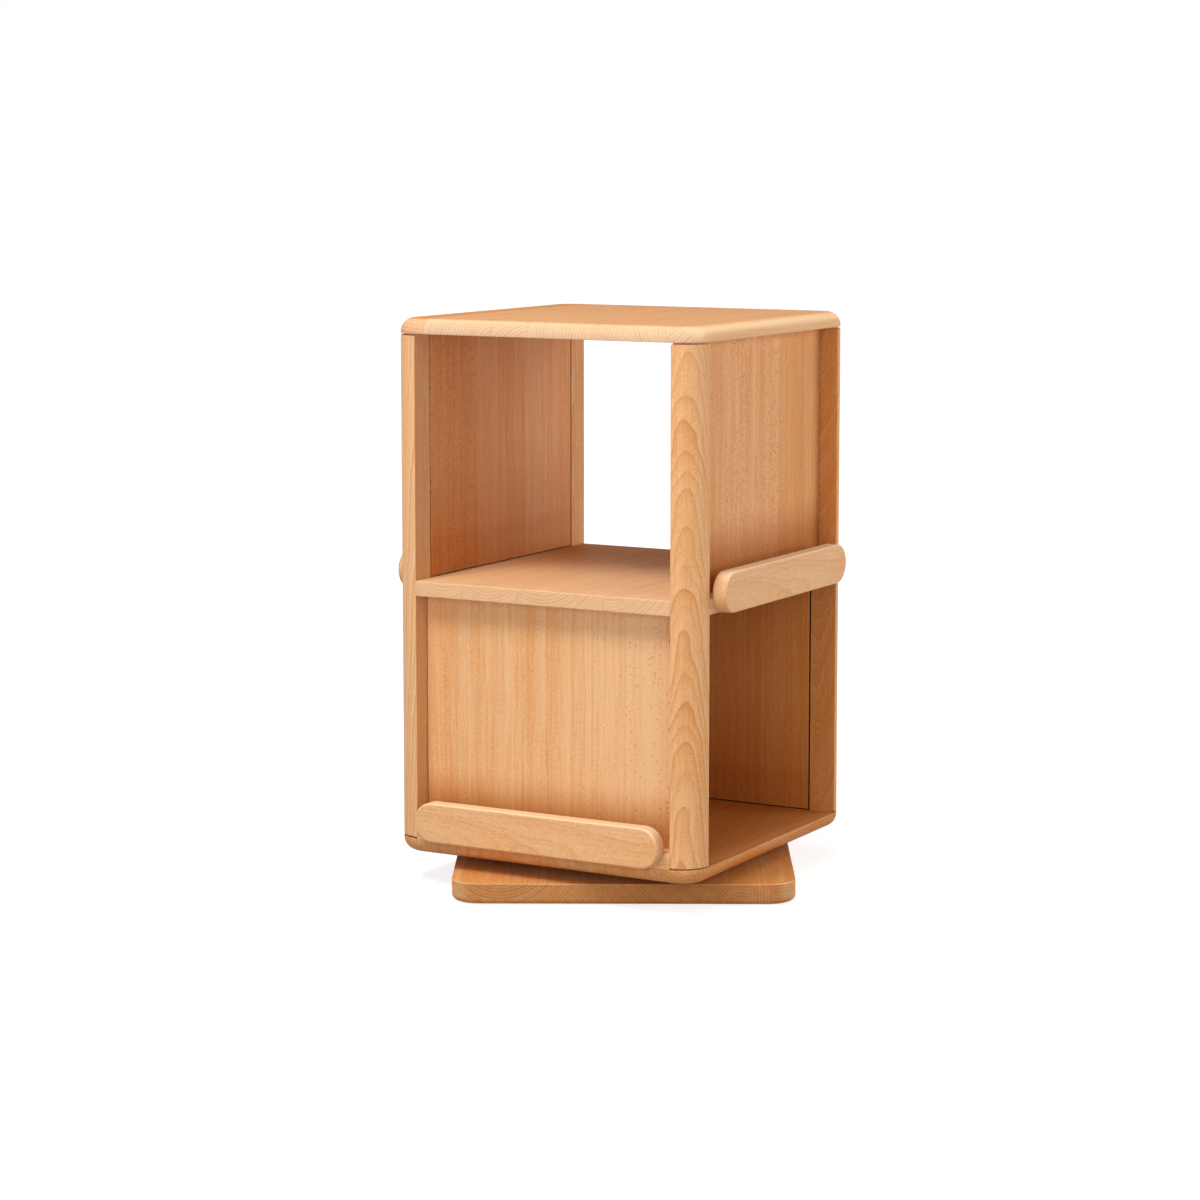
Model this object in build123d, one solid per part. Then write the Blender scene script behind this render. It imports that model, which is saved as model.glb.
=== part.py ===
from build123d import *
import math
import os

# Two-tier revolving bookcase in solid beech, in millimetres, with +Z up.
# The origin is on the floor, on the turning axis. The cabinet stands square to X and Y,
# and the base plate under it is turned, as it stands when the cabinet has been swung round.

# Cabinet carcass
side = 400.0
top_thickness = 18.0
shelf_thickness = 18.0
bottom_thickness = 18.0
upper_tier = 287.0
lower_tier = 287.0
edge_round = 16.0
arris_radius = 0.8
shelf_round = 1.5

# Quarter-round corner posts, stepped in at both ends for a shadow line
post = 33.0
reveal_height = 2.0
reveal_depth = 5.0

# Panels that float in grooves, flush with the inner faces of the posts
panel = 10.0
panel_side_gap = 1.8
panel_head_gap = 1.2
panel_foot_gap = 1.5
tongue = 5.0
tongue_reach = 5.0
tongue_depth = 5.0
groove_play = 0.15
groove_spare = 0.8

# Ledges on the bottom board and display rails in front of the panels
ledge_height = 18.0
rail_length = 322.0
rail_height = 47.0
rail_thickness = 17.0
rail_round = 3.0
rail_back_round = 1.5
lower_rail_lift = 1.0

# Base plate and its felt pads
base_side = 396.0
base_thickness = 24.0
base_corner = 33.0
base_round = 6.0
base_turn = 28.5
pad_radius = 14.0
pad_thickness = 3.0
pad_proud = 1.0
pad_play = 0.2
pad_inset = 48.0

# Ring bearing between the base plate and the bottom board
bearing_height = 12.0
ring_height = 10.0
pitch_radius = 120.0
base_ring_width = 14.4
cabinet_ring_width = 18.4
ball_radius = 3.0
ball_play = 0.3
ball_count = 24
race_gap = 1.6
cage_thickness = 2.0
cage_height = 9.0
ring_screw_count = 6

# Screws, bolts and threaded inserts
hole_play = 0.1
base_screw_radius = 2.5
base_screw_grip = 8.0
base_screw_head = 4.3
base_screw_head_height = 5.0
head_play = 0.5
head_sunk = 1.0
wood_screw_radius = 2.0
wood_screw_head = 4.0
wood_screw_head_height = 2.4
wood_screw_grip = 12.0
wood_screw_point = 3.0
bolt_radius = 2.5
bolt_head = 4.25
bolt_head_height = 5.0
bolt_grip = 16.0
socket_share = 0.55
socket_depth_share = 0.6
insert_radius = 3.75
insert_length = 18.0
insert_sunk = 0.5

# Dowels, and where they sit as shares of the piece that holds them
dowel_radius = 4.0
dowel_length = 28.0
dowel_in_board = 10.0
dowel_chamfer = 0.8
dowel_spare = 0.5
ledge_dowel_length = 18.0
post_bolt_share = 0.68
post_dowel_shares = (0.82, 0.36)
shelf_dowel_share = 0.36
rail_dowel_share = 0.3
ledge_dowel_share = 0.18

# Levels and half sizes that follow from the sizes above
half = side / 2
base_low = pad_proud
base_high = base_low + base_thickness
bottom_low = base_high + bearing_height
bottom_high = bottom_low + bottom_thickness
shelf_low = bottom_high + lower_tier
shelf_high = shelf_low + shelf_thickness
top_low = shelf_high + upper_tier
shelf_mid = (shelf_low + shelf_high) / 2
post_inner = half - post
recess = post - panel
cut_over = edge_round
FACES = ("front", "right", "back", "left")
CORNERS = {"front_left": (-1, -1), "front_right": (1, -1), "back_right": (1, 1), "back_left": (-1, 1)}


def span(x, y, z):
    """Box between two limits along each axis."""
    size = [high - low for low, high in (x, y, z)]
    middle = [(low + high) / 2 for low, high in (x, y, z)]
    return Pos(*middle) * Box(*size)


def rod(radius, length, start, direction):
    """Round bar from a start point along a direction."""
    ends = (Align.CENTER, Align.CENTER, Align.MIN)
    return Plane(origin=start, z_dir=direction) * Cylinder(radius, length, align=ends)


def on_face(shape, face):
    """Shape built on the front face, carried round to another face of the cabinet."""
    return Rot(0, 0, FACES.index(face) * 90) * shape


def round_edges(face, radius):
    """Rounds every outer edge of one flat face."""
    return fillet(face.outer_wire().edges(), radius)


def socket_head(solid, head_radius, head_height, bottom):
    """Cuts a hexagon socket into a screw head that faces down."""
    key = Plane(origin=bottom) * RegularPolygon(head_radius * socket_share, 6)
    return solid - extrude(key, head_height * socket_depth_share)


# Dowels: each is a fluteless pin from a start point inside one piece to an end inside the next
def dowel(start, direction, length):
    pin = rod(dowel_radius, length, start, direction)
    rims = pin.edges().filter_by(GeomType.CIRCLE)
    return chamfer(rims, dowel_chamfer)


def dowel_hole(start, direction, length):
    along = Vector(*direction)
    mouth = Vector(*start) - along * dowel_spare
    return rod(dowel_radius + hole_play, length + 2 * dowel_spare, mouth, direction)


def corner_point(signs, shares, z):
    """Point in a post, given as shares of its side from the outer faces."""
    return tuple(sign * (half - post * share) for sign, share in zip(signs, shares)) + (z,)


def dowel_pair(starts, direction, length):
    pins = [dowel(start, direction, length) for start in starts]
    holes = [dowel_hole(start, direction, length) for start in starts]
    return pins, holes


up = (0, 0, 1)
bolt_shares = (post_bolt_share, post_bolt_share)
bolt_points = {name: corner_point(signs, bolt_shares, bottom_low) for name, signs in CORNERS.items()}
foot_starts = [corner_point(s, post_dowel_shares, bottom_high - dowel_in_board) for s in CORNERS.values()]
head_starts = [
    corner_point(s, shares, top_low - dowel_length + dowel_in_board)
    for s in CORNERS.values()
    for shares in (post_dowel_shares, bolt_shares)
]
foot_pins, foot_holes = dowel_pair(foot_starts, up, dowel_length)
head_pins, head_holes = dowel_pair(head_starts, up, dowel_length)

shelf_pins, shelf_holes = [], []
for sx, sy in CORNERS.values():
    deep = post_inner + dowel_in_board
    beside = half - post * shelf_dowel_share
    for start, direction in (
        ((sx * deep, sy * beside, shelf_mid), (-sx, 0, 0)),
        ((sx * beside, sy * deep, shelf_mid), (0, -sy, 0)),
    ):
        shelf_pins.append(dowel(start, direction, dowel_length))
        shelf_holes.append(dowel_hole(start, direction, dowel_length))


# Rails, ledges and panels stand on four faces: two faces of each tier
LOWER_FACES = ("front", "back")
UPPER_FACES = ("right", "left")


def rail_dowels(z):
    """Two pins on the front face, from the rail's back into what carries it."""
    starts = [(s * rail_length * rail_dowel_share, -half - dowel_in_board, z) for s in (-1, 1)]
    return dowel_pair(starts, (0, 1, 0), dowel_length)


def rail(low, holes):
    """Bar with round ends on the front face, its back on the face plane."""
    outline = Plane.XZ.offset(half) * Pos(0, low + rail_height / 2) * SlotOverall(rail_length, rail_height)
    bar = extrude(outline, rail_thickness)
    bar = round_edges(bar.faces().sort_by(Axis.Y)[0], rail_round)
    bar = round_edges(bar.faces().sort_by(Axis.Y)[-1], rail_back_round)
    return bar - holes


def floating_panel(low, high):
    """Panel on the front face, with a tongue round all four edges."""
    back, front = -post_inner, -half + recess
    middle = (back + front) / 2
    wide = post_inner - panel_side_gap
    tongue_y = (middle - tongue / 2, middle + tongue / 2)
    board = span((-wide, wide), (front, back), (low + panel_foot_gap, high - panel_head_gap))
    board = chamfer(board.edges().filter_by(GeomType.LINE), groove_play)
    reach = post_inner + tongue_reach
    across = span((-reach, reach), tongue_y, (low + panel_foot_gap, high - panel_head_gap))
    upright = span((-wide, wide), tongue_y, (low - tongue_depth, high + tongue_depth - groove_spare))
    return board + across + upright


def panel_grooves(low, high):
    """Grooves for one panel: in the posts beside it, the board below and the board above."""
    middle = -(half - recess + post_inner) / 2
    groove_y = (middle - tongue / 2 - groove_play, middle + tongue / 2 + groove_play)
    far = post_inner + tongue_reach + groove_spare
    beside = span((-far, far), groove_y, (low, high))
    below = span((-post_inner, post_inner), groove_y, (low - tongue_depth, low + cut_over))
    above = span((-post_inner, post_inner), groove_y, (high - cut_over, high + tongue_depth))
    return beside, below, above


lower_rail_low = bottom_high + lower_rail_lift
lower_rail_pins, lower_rail_holes = rail_dowels(bottom_high + ledge_height / 2)
upper_rail_pins, upper_rail_holes = rail_dowels(shelf_mid)
ledge_starts = [
    (s * side * ledge_dowel_share, -half + recess / 2, bottom_high - ledge_dowel_length / 2) for s in (-1, 1)
]
ledge_pins, ledge_holes = dowel_pair(ledge_starts, up, ledge_dowel_length)

ledge = span((-post_inner, post_inner), (-half, -half + recess), (bottom_high, bottom_high + ledge_height))
ledge_top_edge = ledge.edges().filter_by(Axis.X).group_by(Axis.Y)[0].sort_by(Axis.Z)[-1]
ledge = fillet(ledge_top_edge, arris_radius) - lower_rail_holes - ledge_holes
lower_panel = floating_panel(bottom_high, shelf_low)
upper_panel = floating_panel(shelf_high, top_low)
lower_rail = rail(lower_rail_low, lower_rail_holes)
upper_rail = rail(shelf_low, upper_rail_holes)
lower_cuts = panel_grooves(bottom_high, shelf_low)
upper_cuts = panel_grooves(shelf_high, top_low)
lower_grooves = [[on_face(cut, face) for cut in lower_cuts] for face in LOWER_FACES]
upper_grooves = [[on_face(cut, face) for cut in upper_cuts] for face in UPPER_FACES]
shelf_rail_holes = [on_face(hole, face) for hole in upper_rail_holes for face in UPPER_FACES]
board_ledge_holes = [on_face(hole, face) for hole in ledge_holes for face in LOWER_FACES]


# Corner posts
def post_section(signs, inset):
    """Quarter disc with its centre on the post's inner corner."""
    sx, sy = signs
    disc = Pos(sx * post_inner, sy * post_inner) * Circle(post - inset)
    square = Pos(sx * (half - post / 2), sy * (half - post / 2)) * Rectangle(post, post)
    quarter = disc & square
    return fillet(quarter.vertices(), arris_radius)


def corner_post(name):
    signs = CORNERS[name]
    core = extrude(Pos(0, 0, bottom_high) * post_section(signs, reveal_depth), top_low - bottom_high)
    body_length = top_low - bottom_high - 2 * reveal_height
    body = extrude(Pos(0, 0, bottom_high + reveal_height) * post_section(signs, 0), body_length)
    bolt_x, bolt_y, _ = bolt_points[name]
    insert_hole = rod(insert_radius + hole_play, insert_length + insert_sunk + dowel_spare,
                      (bolt_x, bolt_y, bottom_high), up)
    grooves = [beside for beside, _, _ in lower_grooves + upper_grooves]
    return body + core - grooves - [insert_hole] - foot_holes - head_holes - shelf_holes


# Top board, middle shelf and bottom board
def carcass_board(low, thickness, rounded_up):
    """Square board with the posts' plan radius and one large quarter-round edge."""
    board = extrude(Pos(0, 0, low) * RectangleRounded(side, side, post), thickness)
    big, small = (-1, 0) if rounded_up else (0, -1)
    large_round = min(edge_round, thickness - 2 * arris_radius)
    board = round_edges(board.faces().sort_by(Axis.Z)[big], large_round)
    return round_edges(board.faces().sort_by(Axis.Z)[small], arris_radius)


ring_screw_angles = [360 / ring_screw_count * i for i in range(ring_screw_count)]
cabinet_ring_inner = pitch_radius + race_gap
cabinet_screw_circle = cabinet_ring_inner + cabinet_ring_width / 2
cabinet_ring_low = bottom_low - ring_height
wood_screw_length = ring_height + wood_screw_grip


def on_circle(radius, angle, z):
    turn = math.radians(angle)
    return (radius * math.cos(turn), radius * math.sin(turn), z)


def wood_screw(at):
    """Countersunk screw, head down, with a blunt conical point."""
    outline = Polyline(
        (0, 0),
        (wood_screw_head, 0),
        (wood_screw_radius, wood_screw_head_height),
        (wood_screw_radius, wood_screw_length - wood_screw_point),
        (0, wood_screw_length),
        close=True,
    )
    shank = revolve(make_face(Plane.XZ * outline), Axis.Z)
    return Pos(*at) * socket_head(shank, wood_screw_head, wood_screw_head_height, (0, 0, 0))


def wood_screw_hole(at):
    shank = rod(wood_screw_radius + hole_play, wood_screw_length + dowel_spare, at, up)
    mouth = wood_screw_head + hole_play
    sink = Cone(mouth, wood_screw_radius + hole_play, wood_screw_head_height,
                align=(Align.CENTER, Align.CENTER, Align.MIN))
    return [shank, Pos(*at) * sink]


cabinet_screw_points = [on_circle(cabinet_screw_circle, a, cabinet_ring_low) for a in ring_screw_angles]
cabinet_screw_holes = [cut for at in cabinet_screw_points for cut in wood_screw_hole(at)]
cabinet_screws = [wood_screw(at) for at in cabinet_screw_points]

bolt_seat = bolt_head_height + head_sunk
bolt_holes = []
for bolt_x, bolt_y, _ in bolt_points.values():
    bolt_holes.append(rod(bolt_radius + hole_play, bottom_thickness, (bolt_x, bolt_y, bottom_low), up))
    bolt_holes.append(rod(bolt_head + head_play, bolt_seat, (bolt_x, bolt_y, bottom_low), up))

bottom_board = carcass_board(bottom_low, bottom_thickness, False)
bottom_board -= [below for _, below, _ in lower_grooves]
bottom_board -= bolt_holes + foot_holes + board_ledge_holes + cabinet_screw_holes

top_board = carcass_board(top_low, top_thickness, True)
top_board -= [above for _, _, above in upper_grooves]
top_board -= head_holes

middle_shelf = span((-half, half), (-half, half), (shelf_low, shelf_high))
for sx, sy in CORNERS.values():
    middle_shelf -= Pos(sx * (half - post / 2), sy * (half - post / 2), shelf_mid) * Box(post, post, side)
for axis in (Axis.X, Axis.Y):
    long_edges = middle_shelf.edges().filter_by(axis).filter_by(lambda e: e.length > side / 2)
    middle_shelf = fillet(long_edges, shelf_round)
middle_shelf -= [above for _, _, above in lower_grooves] + [below for _, below, _ in upper_grooves]
middle_shelf -= shelf_holes + shelf_rail_holes


# Post bolts from below, screwed into brass inserts in the post ends
def head_screw(at, head_radius, head_height, shank_radius, shank_length):
    """Socket-head screw standing head down on its point of entry."""
    head = rod(head_radius, head_height, at, up)
    shank = rod(shank_radius, head_height + shank_length, at, up)
    return socket_head(head + shank, head_radius, head_height, at)


bolt_shank = bottom_thickness - bolt_seat + bolt_grip
post_bolts = [
    head_screw((x, y, z + head_sunk), bolt_head, bolt_head_height, bolt_radius, bolt_shank)
    for x, y, z in bolt_points.values()
]
post_inserts = [
    rod(insert_radius, insert_length, (x, y, bottom_high + insert_sunk), up)
    - rod(bolt_radius + hole_play, insert_length, (x, y, bottom_high + insert_sunk), up)
    for x, y, _ in bolt_points.values()
]

# Ring bearing: the inner ring is screwed to the base, the outer ring to the cabinet
ball_level = base_high + bearing_height / 2
race = Torus(pitch_radius, ball_radius + ball_play)
race = Pos(0, 0, ball_level) * race


def ring(inner, outer, low):
    hoop = Pos(0, 0, low) * (Circle(outer) - Circle(inner))
    hoop = extrude(hoop, ring_height)
    rims = hoop.edges().filter_by(GeomType.CIRCLE)
    return chamfer(rims, ball_play) - race


base_ring_outer = pitch_radius - race_gap
base_screw_circle = base_ring_outer - base_ring_width / 2
base_ring = ring(base_ring_outer - base_ring_width, base_ring_outer, base_high)
cabinet_ring = ring(cabinet_ring_inner, cabinet_ring_inner + cabinet_ring_width, cabinet_ring_low)
cabinet_ring -= cabinet_screw_holes

base_screw_seat = base_screw_head_height + head_sunk
base_screw_shank = base_thickness - base_screw_seat + base_screw_grip
base_screw_points = [on_circle(base_screw_circle, a, base_low) for a in ring_screw_angles]
base_screw_sizes = (base_screw_head, base_screw_head_height, base_screw_radius, base_screw_shank)
base_screws = [head_screw((x, y, z + head_sunk), *base_screw_sizes) for x, y, z in base_screw_points]
base_screw_holes = []
for at in base_screw_points:
    reach = base_thickness + base_screw_grip + dowel_spare
    base_screw_holes.append(rod(base_screw_radius + hole_play, reach, at, up))
    base_screw_holes.append(rod(base_screw_head + head_play, base_screw_seat, at, up))
base_ring -= base_screw_holes

ball_angles = [360 / ball_count * i for i in range(ball_count)]
balls = [Pos(*on_circle(pitch_radius, a, ball_level)) * Sphere(ball_radius) for a in ball_angles]
cage_radii = (pitch_radius - cage_thickness / 2, pitch_radius + cage_thickness / 2)
cage = Pos(0, 0, ball_level - cage_height / 2) * (Circle(cage_radii[1]) - Circle(cage_radii[0]))
cage = extrude(cage, cage_height)
cage -= [
    rod(ball_radius + ball_play, cage_thickness * 2, on_circle(pitch_radius - cage_thickness, a, ball_level),
        on_circle(1, a, 0))
    for a in ball_angles
]

# Base plate on four felt pads
base_outline = Pos(0, 0, base_low) * RectangleRounded(base_side, base_side, base_corner)
base_plate = extrude(base_outline, base_thickness)
base_plate = round_edges(base_plate.faces().sort_by(Axis.Z)[0], base_round)
base_plate = round_edges(base_plate.faces().sort_by(Axis.Z)[-1], arris_radius)
pad_place = base_side / 2 - pad_inset
pad_points = [(sx * pad_place, sy * pad_place) for sx, sy in CORNERS.values()]
pad_pocket = pad_thickness - pad_proud
base_plate -= [rod(pad_radius + pad_play, pad_pocket, (x, y, base_low), up) for x, y in pad_points]
base_plate -= base_screw_holes
pads = [rod(pad_radius, pad_thickness, (x, y, 0), up) for x, y in pad_points]

nodes = {
    "base_plate": base_plate,
    "floor_pads": Compound(pads),
    "bearing_base_ring": base_ring,
    "base_ring_screws": Compound(base_screws),
    "ball_cage": cage,
    "bearing_balls": Compound(balls),
    "bearing_cabinet_ring": cabinet_ring,
    "cabinet_ring_screws": Compound(cabinet_screws),
    "bottom_panel": bottom_board,
    "middle_shelf": middle_shelf,
    "top_panel": top_board,
    "post_bolts": Compound(post_bolts),
    "post_inserts": Compound(post_inserts),
    "post_foot_dowels": Compound(foot_pins),
    "post_head_dowels": Compound(head_pins),
    "shelf_dowels": Compound(shelf_pins),
}
for name in CORNERS:
    nodes[f"{name}_post"] = corner_post(name)
for face in LOWER_FACES:
    nodes[f"lower_{face}_panel"] = on_face(lower_panel, face)
    nodes[f"lower_{face}_ledge"] = on_face(ledge, face)
    nodes[f"lower_{face}_rail"] = on_face(lower_rail, face)
for face in UPPER_FACES:
    nodes[f"upper_{face}_panel"] = on_face(upper_panel, face)
    nodes[f"upper_{face}_rail"] = on_face(upper_rail, face)
lower_pins = [on_face(pin, face) for pin in lower_rail_pins for face in LOWER_FACES]
upper_pins = [on_face(pin, face) for pin in upper_rail_pins for face in UPPER_FACES]
nodes["rail_dowels"] = Compound(lower_pins + upper_pins)
nodes["ledge_dowels"] = Compound([on_face(pin, face) for pin in ledge_pins for face in LOWER_FACES])
for name in ("base_plate", "floor_pads", "bearing_base_ring", "base_ring_screws"):
    nodes[name] = Rot(0, 0, base_turn) * nodes[name]

os.makedirs("parts", exist_ok=True)
for name, shape in nodes.items():
    export_step(shape, f"parts/{name}.step")
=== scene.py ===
import math

import bmesh
import bpy
from mathutils import Matrix, Vector


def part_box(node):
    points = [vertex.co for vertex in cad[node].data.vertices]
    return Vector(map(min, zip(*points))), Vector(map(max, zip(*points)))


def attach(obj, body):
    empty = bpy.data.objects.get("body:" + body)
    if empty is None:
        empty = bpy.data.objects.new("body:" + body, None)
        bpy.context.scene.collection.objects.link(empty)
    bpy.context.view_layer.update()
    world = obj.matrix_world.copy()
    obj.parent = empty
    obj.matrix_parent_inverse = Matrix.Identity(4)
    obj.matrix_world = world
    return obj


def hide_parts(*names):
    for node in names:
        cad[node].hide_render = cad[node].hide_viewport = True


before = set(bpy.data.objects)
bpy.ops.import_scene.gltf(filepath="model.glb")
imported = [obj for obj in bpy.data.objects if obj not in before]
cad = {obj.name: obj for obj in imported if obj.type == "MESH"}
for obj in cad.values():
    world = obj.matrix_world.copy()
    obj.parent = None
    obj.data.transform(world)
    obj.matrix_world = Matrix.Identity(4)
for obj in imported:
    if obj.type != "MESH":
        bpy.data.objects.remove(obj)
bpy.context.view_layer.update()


# Base plate: a square of edge-glued beech, 24 mm thick, with rounded corners and an oiled satin finish.
# Its staves run from the front edge to the back one, so the front edge shows end grain.
# It lies on four felt pads, and the lower bearing ring is screwed to it from below.

def put(tree, kind, feeds=None, **settings):
    """Adds a node to a shader tree and feeds its inputs with plain values or from other nodes."""
    node = tree.nodes.new("ShaderNode" + kind)
    for name, value in settings.items():
        setattr(node, name, value)
    for socket, feed in (feeds or {}).items():
        if isinstance(feed, bpy.types.NodeSocket):
            tree.links.new(feed, node.inputs[socket])
        else:
            node.inputs[socket].default_value = feed
    return node


def calc(tree, operation, *terms):
    """Result of one sum on values that change over the surface."""
    return put(tree, "Math", dict(enumerate(terms)), operation=operation).outputs[0]


def vector(tree, operation, *terms):
    """Result of one sum on vectors, which is a vector too."""
    return put(tree, "VectorMath", dict(enumerate(terms)), operation=operation).outputs[0]


def split(tree, place):
    """The three measures of a vector, by the names X, Y and Z."""
    return put(tree, "SeparateXYZ", {0: place}).outputs


def centred(tree, value):
    """A value of about 0 to 1, moved to lie round 0."""
    return calc(tree, "SUBTRACT", value, 0.5)


def stretched(tree, place, across, along):
    """Coordinates scaled alike across the grain and differently along it."""
    return vector(tree, "MULTIPLY", place, (across, across, along))


def tilted(tree, board, degrees):
    """Board coordinates turned a little in the plane of the face."""
    feeds = {"Vector": board, "Axis": (0, 1, 0), "Angle": math.radians(degrees)}
    return put(tree, "VectorRotate", feeds, rotation_type="AXIS_ANGLE").outputs[0]


def noise(tree, place, detail=2.0):
    """Soft noise, about 0 to 1, at the scale of the coordinates given."""
    return put(tree, "TexNoise", {"Vector": place, "Scale": 1.0, "Detail": detail}).outputs[0]


def ramp(tree, value, low, high, start=0.0, end=1.0):
    """Smooth step of a value between two limits."""
    feeds = {"Value": value, "From Min": low, "From Max": high, "To Min": start, "To Max": end}
    return put(tree, "MapRange", feeds, interpolation_type="SMOOTHSTEP").outputs[0]


def tint(tree, share, first, second, mode="MIX"):
    """Two colours mixed by a share."""
    node = put(tree, "Mix", {0: share, 6: first, 7: second}, data_type="RGBA", blend_type=mode)
    return node.outputs[2]


def effect(name, takes, gives):
    """Empty shader group with named sockets; a default that is a tuple makes a vector, a number a value."""
    tree = bpy.data.node_groups.new(name, "ShaderNodeTree")
    for label, default in takes.items():
        kind = "NodeSocketVector" if isinstance(default, tuple) else "NodeSocketFloat"
        tree.interface.new_socket(label, in_out="INPUT", socket_type=kind).default_value = default
    kinds = {"Color": "NodeSocketColor", "Board": "NodeSocketVector"}
    for label in gives:
        kind = kinds.get(label, "NodeSocketFloat")
        tree.interface.new_socket(label, in_out="OUTPUT", socket_type=kind)
    return tree, tree.nodes.new("NodeGroupInput").outputs, tree.nodes.new("NodeGroupOutput").inputs


def use(tree, group, feeds):
    """Places a shader group in a tree and returns its outputs."""
    return put(tree, "Group", feeds, node_tree=group).outputs


def board_axes():
    """Turns object coordinates into a board's own: X across it, Y through it, Z along the grain.
    End marks end grain, Rim the upper rounded edges, for painted highlight where the oil is also rubbed
    thin,
    Upper what looks up, for painted light."""
    takes = {"Place": (0, 0, 0), "Facing": (0, 0, 1), "Middle": (0, 0, 0), "Turn": (0, 0, 0)}
    tree, given, made = effect("board axes", takes, ("Board", "End", "Rim", "Upper"))

    def by_board(direction):
        feeds = {"Vector": direction, "Rotation": given["Turn"]}
        return put(tree, "VectorRotate", feeds, rotation_type="EULER_XYZ", invert=True).outputs[0]

    board = by_board(vector(tree, "SUBTRACT", given["Place"], given["Middle"]))
    square = split(tree, vector(tree, "ABSOLUTE", by_board(given["Facing"])))
    flat = calc(tree, "MAXIMUM", square["X"], calc(tree, "MAXIMUM", square["Y"], square["Z"]))
    rounded = ramp(tree, flat, 0.75, 0.98, 1.0, 0.0)
    height = split(tree, given["Facing"])["Z"]
    tree.links.new(board, made["Board"])
    tree.links.new(ramp(tree, square["Z"], 0.3, 0.8), made["End"])
    tree.links.new(calc(tree, "MULTIPLY", rounded, ramp(tree, height, -0.2, 0.4)), made["Rim"])
    tree.links.new(ramp(tree, height, 0.5, 0.9), made["Upper"])
    return tree


def growth_rings():
    """Growth rings round the pith of the trunk that a stave was sawn from, and the rays that cross them."""
    takes = {"Board": (0, 0, 0), "Pith Across": 0.0, "Pith Depth": 0.05, "Ring Width": 0.003, "Lean": 0.01,
             "Waver": 0.002, "Wander": (32, 32, 7)}
    tree, given, made = effect("growth rings", takes, ("Latewood", "Ring", "Rays"))
    place = split(tree, given["Board"])
    across = calc(tree, "SUBTRACT", place["X"], given["Pith Across"])
    depth = calc(tree, "SUBTRACT", place["Y"], given["Pith Depth"])
    squares = [calc(tree, "MULTIPLY", side, side) for side in (across, depth)]
    radius = calc(tree, "SQRT", calc(tree, "ADD", *squares))
    wander = centred(tree, noise(tree, vector(tree, "MULTIPLY", given["Board"], given["Wander"])))
    grown = calc(tree, "MULTIPLY_ADD", place["Z"], given["Lean"], radius)
    grown = calc(tree, "MULTIPLY_ADD", wander, given["Waver"], grown)
    rings = calc(tree, "DIVIDE", grown, given["Ring Width"])
    chance = put(tree, "TexWhiteNoise", {"W": calc(tree, "FLOOR", rings)}, noise_dimensions="1D").outputs[0]
    sharpness, faintest, spread = 2.4, 0.45, 0.55
    late = calc(tree, "POWER", calc(tree, "FRACT", rings), sharpness)
    weight = calc(tree, "MULTIPLY_ADD", chance, spread, faintest)
    tree.links.new(calc(tree, "MULTIPLY", late, weight), made["Latewood"])
    tree.links.new(chance, made["Ring"])
    spokes, bands = 55, 60
    fan = {"X": calc(tree, "MULTIPLY", calc(tree, "ARCTAN2", depth, across), spokes),
           "Y": calc(tree, "MULTIPLY", radius, bands),
           "Z": calc(tree, "MULTIPLY", place["Z"], bands)}
    tree.links.new(noise(tree, put(tree, "CombineXYZ", fan).outputs[0], 3.0), made["Rays"])
    return tree


def ray_flecks():
    """Short dark dashes, the ends of the rays, crowded in patches and leaning a little off the grain."""
    tree, given, made = effect("ray flecks", {"Board": (0, 0, 0), "Amount": 0.3}, ("Fleck",))
    patches = noise(tree, stretched(tree, given["Board"], 60, 14))
    crowd = ramp(tree, patches, 0.35, 0.65, 0.4, 1.6)
    fleck_lean, cells_per_metre = 18, (420, 0, 230)
    spread = vector(tree, "MULTIPLY", tilted(tree, given["Board"], fleck_lean), cells_per_metre)
    cells = put(tree, "TexVoronoi", {"Vector": spread, "Scale": 1.0})
    smallest, growth, faintest, spread_of_shade = 0.33, 0.25, 0.3, 0.65
    size = calc(tree, "MULTIPLY_ADD", given["Amount"], growth, smallest)
    lens = ramp(tree, cells.outputs["Distance"], 0.1, size, 1.0, 0.0)
    chances = put(tree, "SeparateColor", {0: cells.outputs["Color"]}).outputs
    shown = calc(tree, "LESS_THAN", chances[0], calc(tree, "MULTIPLY", given["Amount"], crowd))
    shade = calc(tree, "MULTIPLY_ADD", chances[1], spread_of_shade, faintest)
    tree.links.new(calc(tree, "MULTIPLY", lens, calc(tree, "MULTIPLY", shown, shade)), made["Fleck"])
    return tree


def fibres():
    """Streaks along the grain from fine to broad, thin pale lines between them, and the grain of the pores.
    Scales are in waves to the metre, across the grain and along it."""
    gives = ("Fine", "Streaky", "Broad", "Pale Line", "Pores")
    tree, given, made = effect("fibres", {"Board": (0, 0, 0)}, gives)
    sway, pore_lean = 0.012, 12
    bend = centred(tree, noise(tree, stretched(tree, given["Board"], 14, 11)))
    shift = put(tree, "CombineXYZ", {"X": calc(tree, "MULTIPLY", bend, sway)}).outputs[0]
    bent = vector(tree, "ADD", given["Board"], shift)
    sizes = {"Fine": (850, 14, 3.0), "Streaky": (300, 9, 4.0), "Broad": (95, 2.5, 3.0)}
    for label, (across, along, detail) in sizes.items():
        tree.links.new(noise(tree, stretched(tree, bent, across, along), detail), made[label])
    crossing = centred(tree, noise(tree, stretched(tree, bent, 170, 6), 1.0))
    tree.links.new(ramp(tree, calc(tree, "ABSOLUTE", crossing), 0.0, 0.03, 1.0, 0.0), made["Pale Line"])
    pores = stretched(tree, tilted(tree, given["Board"], pore_lean), 760, 330)
    tree.links.new(noise(tree, pores, 2.0), made["Pores"])
    return tree


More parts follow.
